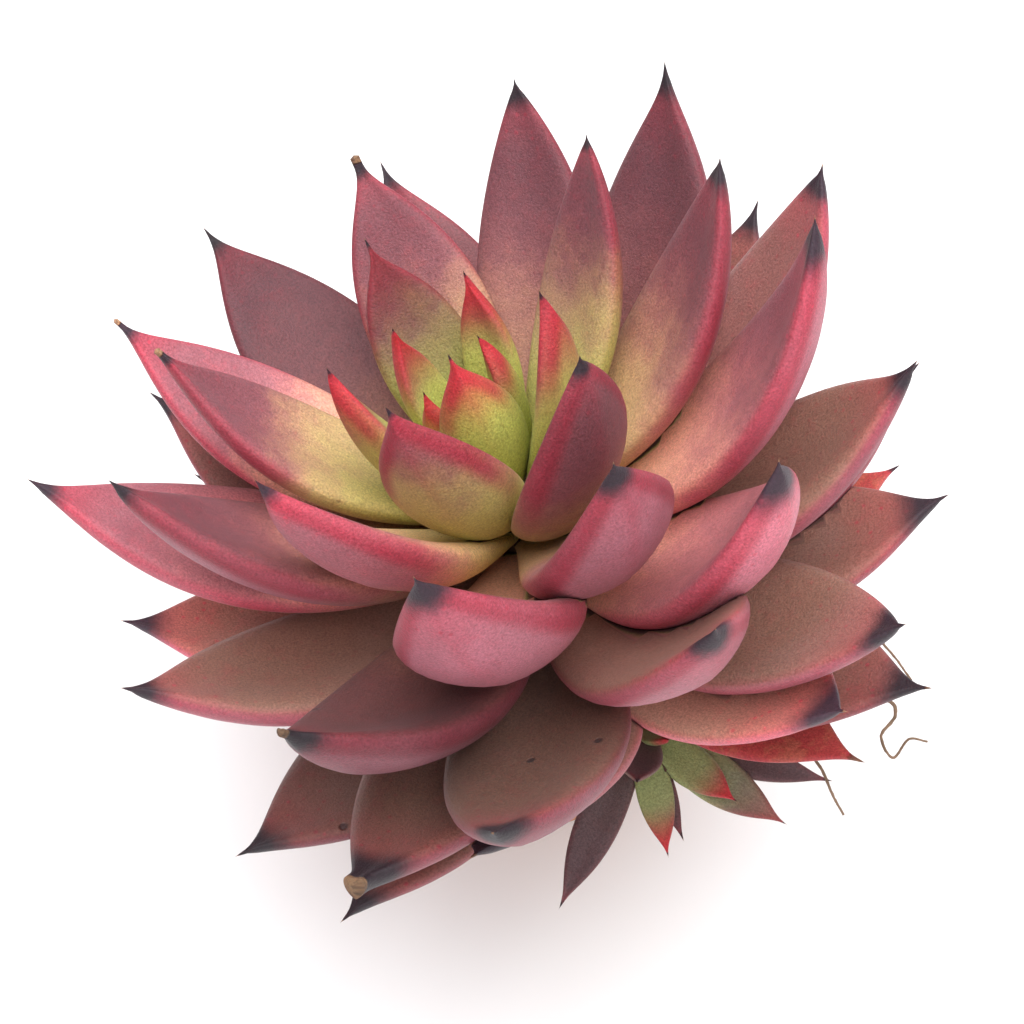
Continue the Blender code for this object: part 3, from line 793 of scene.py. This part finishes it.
@dataclass
class Rosette:
    """The leaning rosette of leaves on its stem."""

    centre: Vector = field(default_factory=lambda: Vector((-0.006, 0.004, 0.100)))
    lean: float = 25.5
    heading: float = 139.6
    leafy_length: float = 0.0357
    count: int = 57
    fallen: tuple[int, ...] = (49, 50, 52, 55)
    first_turn: float = 102.1
    golden_turn: float = 138.6
    ages: tuple[float, ...] = (0, 4, 9, 15, 22, 30, 40, 56)
    leans: tuple[float, ...] = (4.5, 14, 28, 41, 50, 62, 77, 95)
    lengths: tuple[float, ...] = (24, 39, 58, 71, 81, 77, 74, 68)
    widths: tuple[float, ...] = (9, 15, 21, 26, 30, 32, 33, 31)
    depths: tuple[float, ...] = (4, 5.5, 7, 8, 9, 9.2, 9.2, 8)
    curls: tuple[float, ...] = (25, 25, 30, 40, 45, 45, 40, 30)
    gap: float = 0.25 * MM

    def frame(self) -> Matrix:
        """The rosette's own axes, with the heart at the origin and +Z out of it."""
        heading = math.radians(self.heading)
        sideways = Vector((-math.sin(heading), math.cos(heading), 0))
        return Matrix.Translation(self.centre) @ Matrix.Rotation(math.radians(self.lean), 4, sideways)

    def stem_radius(self, age: float) -> float:
        """Radius of the stem where a leaf of this age grows."""
        return min(1.2 + 0.45 * age, 7.5) * MM

    def leaf_axes(self, age: int) -> Matrix:
        """Axes of one leaf: +X along it and +Z out of its face."""
        bend = BENT_LEAVES.get(age, Bend())
        turn = self.first_turn + self.golden_turn * age + bend.turn
        axes = pointing(turn, float(np.interp(age, self.ages, self.leans)) + bend.lean)
        outward = Vector((math.cos(math.radians(turn)), math.sin(math.radians(turn)), 0))
        height = -self.leafy_length * age / (self.count - 1)
        foot = outward * (self.stem_radius(age) - 0.6 * MM) + Vector((0, 0, height))
        return self.frame() @ Matrix.Translation(foot) @ axes

    def leaf_form(self, age: int) -> LeafForm:
        """Size and build of one leaf."""
        bend = BENT_LEAVES.get(age, Bend())

        def read(curve: Sequence[float]) -> float:
            """One size at this age."""
            return float(np.interp(age, self.ages, curve))

        return LeafForm(
            length=read(self.lengths) * MM + bend.grow,
            width=read(self.widths) * MM * bend.broad * SLIM_LEAVES.get(age, 1.0),
            thickness=read(self.depths) * MM * bend.plump,
            curl=read(self.curls) + bend.curl,
            bow=bend.bow,
            age=age / (self.count - 1),
            seed=age * 0.37,
            acute=0.0 if age in ROUND_LEAVES else 0.9 if age < 9 else 0.45,
            spine=read((0.8, 0.9, 1.1, 1.3, 1.6, 1.8, 1.9, 2.0)) * MM,
            blunt=BROKEN_LEAVES.get(age, 0.0) * MM,
            ink=read((0.5, 0.7, 1.6, 3.2, 4.0, 4.5, 5.5, 6.0)) * DARK_TIPS.get(age, 1.0),
            dry=DRY_POINTS.get(age, 0.4),
            flush=FLUSHED_LEAVES.get(age, 0.0),
            tone=LEAF_TONES_AND_SHADE.get(age, 0.0),
        )

    @staticmethod
    def leaf_place(age: int) -> LeafPlace:
        """Where a leaf of this age stands."""
        if age in WITHERED_LEAVES:
            return LeafPlace.WITHERED
        return LeafPlace.HEART if age < 8 else LeafPlace.INNER if age < 26 else LeafPlace.OUTER

    def stem_rings(self) -> tuple[list[Vector], list[float]]:
        """Centre line and radius of the stem, from its tip into the soil."""
        foot = Vector((0.009, -0.009, 0.030))
        frame = self.frame()
        marks = (0, 2, 5, 9, 14, 22, 32, 44, self.count - 1)
        points = [frame @ Vector((0, 0, -self.leafy_length * mark / (self.count - 1))) for mark in marks]
        radii = [self.stem_radius(mark) for mark in marks]
        low, pull = points[-1], points[-1] + (frame.to_3x3() @ Vector((0, 0, -1))) * 0.012
        rise = foot + Vector((0, 0, 0.014))
        for t in (k / 8 for k in range(1, 9)):
            near = 1 - t
            points.append(low * near**3 + pull * 3 * near**2 * t + rise * 3 * near * t**2 + foot * t**3)
            radii.append(7.5 * MM if t < 1 else 4.5 * MM)
        return points, radii

    def build(self) -> bpy.types.Mesh:
        """Grow the stem and every leaf, each fitted to the younger leaves above it."""
        points, radii = self.stem_rings()
        seat = skin_mesh("stem_room", tube(points, radii, 32), {})
        fine = smooth_path(points, 6)
        spread = np.interp(np.linspace(0, len(points) - 1, len(fine)), range(len(radii)), radii)
        rings = roughened(tube(fine, list(spread), 48), 260.0, 0.16, 0.4)
        place("stem", skin_mesh("stem", rings, {}), BARK.material(), "stem_bark", "stem")

        skin = LeafSkin().material()
        room: dict[int, tuple[bpy.types.Mesh, BVHTree]] = {}
        seat_room = inflated(seat, self.gap)
        for age in range(self.count):
            if age in self.fallen:
                continue
            form, axes = self.leaf_form(age), self.leaf_axes(age)
            shape, measures = form.shape()
            kind, slot = self.leaf_place(age).value
            name = f"{kind}_leaf_{age:02d}"
            mesh = skin_mesh(name, shape, measures)
            mesh.transform(axes)
            mesh.update()
            tree = tree_of(mesh)
            pressed = [seat_room.copy()]
            pressed += [other.copy() for other, skin_tree in room.values() if tree.overlap(skin_tree)]
            swollen = inflated(mesh, self.gap)
            room[age] = (swollen, tree_of(swollen))
            mesh = combined(mesh, pressed, Joining.CUT)
            largest_body(mesh)
            mesh.set_sharp_from_angle(angle=math.radians(50))
            place(name, mesh, skin, slot, name)
        return seat


def pointing(turn: float, lean: float) -> Matrix:
    """Axes whose +X points out at a turn and a lean off +Z, in degrees."""
    turn, lean = math.radians(turn), math.radians(lean)
    outward = Vector((math.cos(turn), math.sin(turn), 0))
    across = Vector((-math.sin(turn), math.cos(turn), 0))
    along = outward * math.sin(lean) + Vector((0, 0, math.cos(lean)))
    return Matrix((along, across, along.cross(across))).transposed().to_4x4()


@dataclass
class Pup:
    """The small rosette that grows from the foot of the stem.

    Attributes:
        leaves: Turn and lean in degrees, length and width in metres, then age from 0 to 1.
    """

    centre: Vector = field(default_factory=lambda: Vector((0.0215, -0.0285, 0.0600)))
    root: Vector = field(default_factory=lambda: Vector((0.0100, -0.0110, 0.0530)))
    radius: float = 3.2 * MM
    leaves: tuple[tuple[float, float, float, float, float], ...] = (
        (245, 95, 0.038, 0.0085, 0.7),
        (262, 58, 0.018, 0.0090, 0.6),
        (278, 88, 0.026, 0.0070, 0.05),
        (287, 93, 0.023, 0.0045, 0.7),
        (300, 40, 0.012, 0.0060, 0.03),
        (316, 84, 0.023, 0.0085, 0.05),
        (324, 93, 0.032, 0.0100, 0.15),
        (344, 94, 0.037, 0.0080, 0.7),
        (20, 78, 0.020, 0.0090, 0.3),
        (60, 70, 0.016, 0.0080, 0.1),
        (205, 82, 0.020, 0.0090, 0.5),
    )

    def build(self, seat: bpy.types.Mesh) -> None:
        """Grow the pup as one skin, clear of the stem."""
        elbow = self.root.lerp(self.centre, 0.6) - Vector((0, 0, 0.001))
        path = smooth_path([self.root, elbow, self.centre], 8)
        path.append(self.centre + Vector((0, 0, 0.001)))
        radii = [self.radius] * (len(path) - 1) + [self.radius * 0.7]
        rings = tube(path, radii, 24)
        blank = np.ones(rings.shape[:2])
        base = {"along": 0.05, "edge": 5.0, "under": 1.0, "keel": 0.0, "age": 0.3, "from_tip": 30.0}
        base |= {"ink": 1.0, "dry": 0.3, "flush": 0.0, "tone": 0.0, "own": 1.0}
        base = {key: blank * value for key, value in base.items()}
        runner = skin_mesh("pup", rings, base | {"leaf_space": rings})
        grown = []
        for k, (turn, lean, length, width, age) in enumerate(self.leaves):
            looks = {"age": age, "seed": 3.0 + k, "ink": 0.4 + age, "dry": 0.3, "spine": 0.9 * MM}
            form = LeafForm(length, width, width * 0.34, 18, rings=36, sides=24, base_width=0.5, **looks)
            mesh = skin_mesh(f"pup_leaf_{k}", *form.shape())
            axes = pointing(turn, lean)
            foot = self.centre + axes.col[0].xyz * self.radius * 0.3 - Vector((0, 0, 0.2 * MM * k))
            mesh.transform(Matrix.Translation(foot) @ axes)
            grown.append(mesh)
        mesh = combined(runner, grown, Joining.GROW)
        mesh = combined(mesh, [inflated(seat, 0.3 * MM)], Joining.CUT)
        largest_body(mesh)
        mesh.set_sharp_from_angle(angle=math.radians(50))
        place("pup", mesh, PUP_SKIN.material(), "pup_skin", "pup")


@dataclass
class DryRoots:
    """Wiry dead roots that reach out over the rim."""

    paths: dict[str, tuple[tuple[float, float, float], ...]] = field(
        default_factory=lambda: {
            "dry_root_right": (
                (36, -11, 58), (52, -10, 61), (66, -10, 61), (71, -13, 59), (75, -19, 58),
            ),
            "dry_root_thread": (
                (34, -18, 58), (52, -21, 61), (68, -24, 61), (70.5, -27, 60),
                (67.5, -31, 59), (69.5, -35, 58), (72.5, -32, 60), (76, -32.5, 60),
            ),
            "dry_root_front": (
                (34, -22, 65), (47, -32, 67), (53.5, -38.5, 65), (56.5, -44, 62), (58.5, -47, 60),
            ),
        }
    )

    def build(self, seat: bpy.types.Mesh) -> None:
        """Grow each root as a twisted, uneven tube."""
        finish = DRY_ROOT.material()
        for name, marks in self.paths.items():
            points = [Vector(mark) * MM for mark in marks]
            start = Vector((0.009, -0.009, points[0].z - 0.002))
            path = smooth_path([start, *points], 24)
            radii = np.linspace(0.6, 0.28, len(path)) * MM
            rings = roughened(tube(path, list(radii), 16), 1500.0, 0.5)
            mesh = skin_mesh(name, rings, {})
            mesh = combined(mesh, [inflated(seat, 0.3 * MM)], Joining.CUT)
            largest_body(mesh)
            place(name, mesh, finish, "dry_root", name)


# --------------------------------------------------------------------------- pot and soil


@dataclass
class Pot:
    """A tapered clay pot and the soil in it."""

    height: float = 52 * MM
    rim_radius: float = 41 * MM
    foot_radius: float = 30 * MM
    wall: float = 3.2 * MM
    floor: float = 4 * MM
    band: float = 12 * MM
    band_step: float = 2 * MM
    steps: int = 128

    def wall_radius(self, height: float) -> float:
        """Outer radius of the plain wall at a height."""
        spread = self.rim_radius - self.band_step - self.foot_radius
        return self.foot_radius + spread * height / self.height

    def turned(self, name: str, outline: Sequence[tuple[float, float]]) -> bpy.types.Mesh:
        """Turn an outline of radius and height about the upright axis."""
        bm = bmesh.new()
        verts = [bm.verts.new((radius, 0, height)) for radius, height in outline]
        edges = [bm.edges.new(pair) for pair in zip(verts, verts[1:])]
        ends = {"cent": (0, 0, 0), "axis": (0, 0, 1), "angle": 2 * math.pi}
        bmesh.ops.spin(bm, geom=verts + edges, steps=self.steps, use_merge=True, **ends)
        bmesh.ops.remove_doubles(bm, verts=bm.verts, dist=1e-6)
        bmesh.ops.recalc_face_normals(bm, faces=bm.faces)
        mesh = bpy.data.meshes.new(name)
        bm.to_mesh(mesh)
        bm.free()
        mesh.shade_smooth()
        return mesh

    def rounded(self, corners: Sequence[tuple[float, float]], radius: float) -> list[tuple[float, float]]:
        """Round the inner corners of an outline with short arcs."""
        points = [Vector(corner) for corner in corners]
        out = [points[0]]
        for before, corner, after in zip(points, points[1:], points[2:]):
            reach = min(radius, (before - corner).length * 0.45, (after - corner).length * 0.45)
            start = corner + (before - corner).normalized() * reach
            end = corner + (after - corner).normalized() * reach
            for t in (k / 5 for k in range(6)):
                out.append(start * (1 - t) ** 2 + corner * 2 * t * (1 - t) + end * t**2)
        return [(point.x, point.y) for point in out] + [tuple(points[-1])]

    def build(self) -> None:
        """Turn the pot and drill its drain holes."""
        band = self.height - self.band
        inner = self.wall_radius(self.height) - self.wall
        corners = [
            (0, 0),
            (self.foot_radius, 0),
            (self.wall_radius(band), band),
            (self.rim_radius, band),
            (self.rim_radius, self.height),
            (inner, self.height),
            (self.wall_radius(self.floor) - self.wall, self.floor),
            (0, self.floor),
        ]
        mesh = self.turned("pot", self.rounded(corners, 1.2 * MM))
        drills = []
        for turn in (0, 120, 240):
            bm = bmesh.new()
            side = Matrix.Rotation(math.radians(turn), 4, "Z") @ Matrix.Translation((15 * MM, 0, 0))
            sizes = {"radius1": 3.5 * MM, "radius2": 3.5 * MM, "depth": 16 * MM}
            bmesh.ops.create_cone(bm, cap_ends=True, segments=48, matrix=side, **sizes)
            drill = bpy.data.meshes.new("drill")
            bm.to_mesh(drill)
            bm.free()
            drills.append(drill)
        mesh = combined(mesh, drills, Joining.CUT)
        mesh.set_sharp_from_angle(angle=math.radians(40))
        place("pot", mesh, CLAY.material(), "clay", "pot")

    def build_soil(self, seat: bpy.types.Mesh) -> None:
        """Lumpy soil up to just below the rim, with grit on it."""
        gap = 0.3 * MM
        top = self.height - 5 * MM
        edge = self.wall_radius(top) - self.wall - gap
        low = self.floor + gap
        outline = [(0, low), (self.wall_radius(low) - self.wall - gap, low)]
        steps, crown = 60, 1.5 * MM
        outline += [
            (edge * (1 - k / steps) if k < steps else 0, top + crown * math.sin(math.pi / 2 * k / steps))
            for k in range(steps + 1)
        ]
        mesh = self.turned("soil", outline)
        for vert in mesh.vertices:
            reach = math.hypot(vert.co.x, vert.co.y)
            if vert.co.z > self.height / 2 and reach < edge - 0.1 * MM:
                lumps = noise.noise(vert.co * 420) + 0.6 * noise.noise(vert.co * 1100)
                vert.co.z += 0.5 * MM * (lumps - 0.6)
        mesh = combined(mesh, [inflated(seat, gap)], Joining.CUT)
        place("soil", mesh, SOIL.material(), "soil_mix", "soil")
        self.build_grit(edge, top)

    def build_grit(self, edge: float, top: float) -> None:
        """Small uneven stones, scattered over the soil."""
        chance = np.random.default_rng(7)
        bm = bmesh.new()
        for _ in range(260):
            reach = (edge - 2 * MM) * math.sqrt(chance.uniform(0.02, 1))
            turn = chance.uniform(0, 2 * math.pi)
            size = chance.uniform(0.5, 1.3) * MM
            height = top + 1.5 * MM * math.cos(math.pi / 2 * reach / edge) + size * 0.45
            spot = Vector((reach * math.cos(turn), reach * math.sin(turn), height))
            if (spot.xy - Vector((0.009, -0.009))).length < 10.5 * MM:
                continue
            made = bmesh.ops.create_icosphere(bm, subdivisions=2, radius=size)["verts"]
            for vert in made:
                lump = 1 + 0.35 * noise.noise(vert.co * 900 + spot * 5000)
                vert.co = spot + vert.co * lump
        mesh = bpy.data.meshes.new("soil_grit")
        bm.to_mesh(mesh)
        bm.free()
        mesh.shade_smooth()
        place("soil_grit", mesh, GRIT.material(), "soil_mix")


# --------------------------------------------------------------------------- studio


@dataclass
class Studio:
    """Pale floor, soft lights and the camera."""

    aim: Vector = field(default_factory=lambda: Vector((-0.006, 0.004, 0.100)))
    elevation: float = 60.0
    distance: float = 0.3135
    lens: float = 60.6

    def build(self) -> None:
        """Set up the floor, the lights and the camera."""
        self.build_floor()
        self.build_light("key", (0.03, 0.14, 0.80), 0.90, 12.5)
        self.build_light("front", (0.05, -0.62, 0.60), 0.50, 3.0)
        world = bpy.data.worlds.new("studio")
        bpy.context.scene.world = world
        world.use_nodes = True
        back = world.node_tree.nodes["Background"]
        back.inputs["Color"].default_value = (0.92, 0.94, 1.0, 1.0)
        back.inputs["Strength"].default_value = 0.50
        bpy.context.scene.view_settings.view_transform = "Standard"
        self.build_camera()

    def build_floor(self) -> None:
        """A wide pale floor with a faint grain."""
        mesh = bpy.data.meshes.new("floor")
        reach = 3.0
        corners = [(-reach, -reach, 0), (reach, -reach, 0), (reach, reach, 0), (-reach, reach, 0)]
        mesh.from_pydata(corners, [], [(0, 1, 2, 3)])
        bench = Bench("floor")
        tone = bench.cloud(bench.object_place(), 6.0, 3.0)
        colour = bench.mix((0.80, 0.80, 0.80), (0.84, 0.84, 0.83), tone)
        mesh.materials.append(bench.finish(Base_Color=colour, Roughness=0.9))
        floor = bpy.data.objects.new("floor", mesh)
        bpy.context.scene.collection.objects.link(floor)

    def build_light(self, name: str, spot: Sequence[float], size: float, power: float) -> None:
        """A square soft light that faces the rosette."""
        lamp = bpy.data.lights.new(name, "AREA")
        lamp.size = size
        lamp.energy = power
        light = bpy.data.objects.new(name, lamp)
        light.location = spot
        light.rotation_euler = (self.aim - Vector(spot)).to_track_quat("-Z", "Y").to_euler()
        bpy.context.scene.collection.objects.link(light)

    def build_camera(self) -> None:
        """The camera, above and in front of the plant."""
        data = bpy.data.cameras.new("camera")
        data.lens = self.lens
        data.clip_start = 0.01
        data.shift_x = 0.0127
        data.shift_y = -0.039
        camera = bpy.data.objects.new("camera", data)
        tilt = math.radians(self.elevation)
        camera.location = self.aim + Vector((0, -math.cos(tilt), math.sin(tilt))) * self.distance
        camera.rotation_euler = (math.pi / 2 - tilt, 0, 0)
        bpy.context.scene.collection.objects.link(camera)
        bpy.context.scene.camera = camera


def main() -> None:
    """Build every piece around the CAD frame, then the studio."""
    logging.basicConfig(level=logging.INFO, format="%(name)s %(message)s")
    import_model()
    seat = Rosette().build()
    Pup().build(seat)
    DryRoots().build(seat)
    pot = Pot()
    pot.build()
    pot.build_soil(seat)
    Studio().build()


if __name__ == "__main__":
    main()
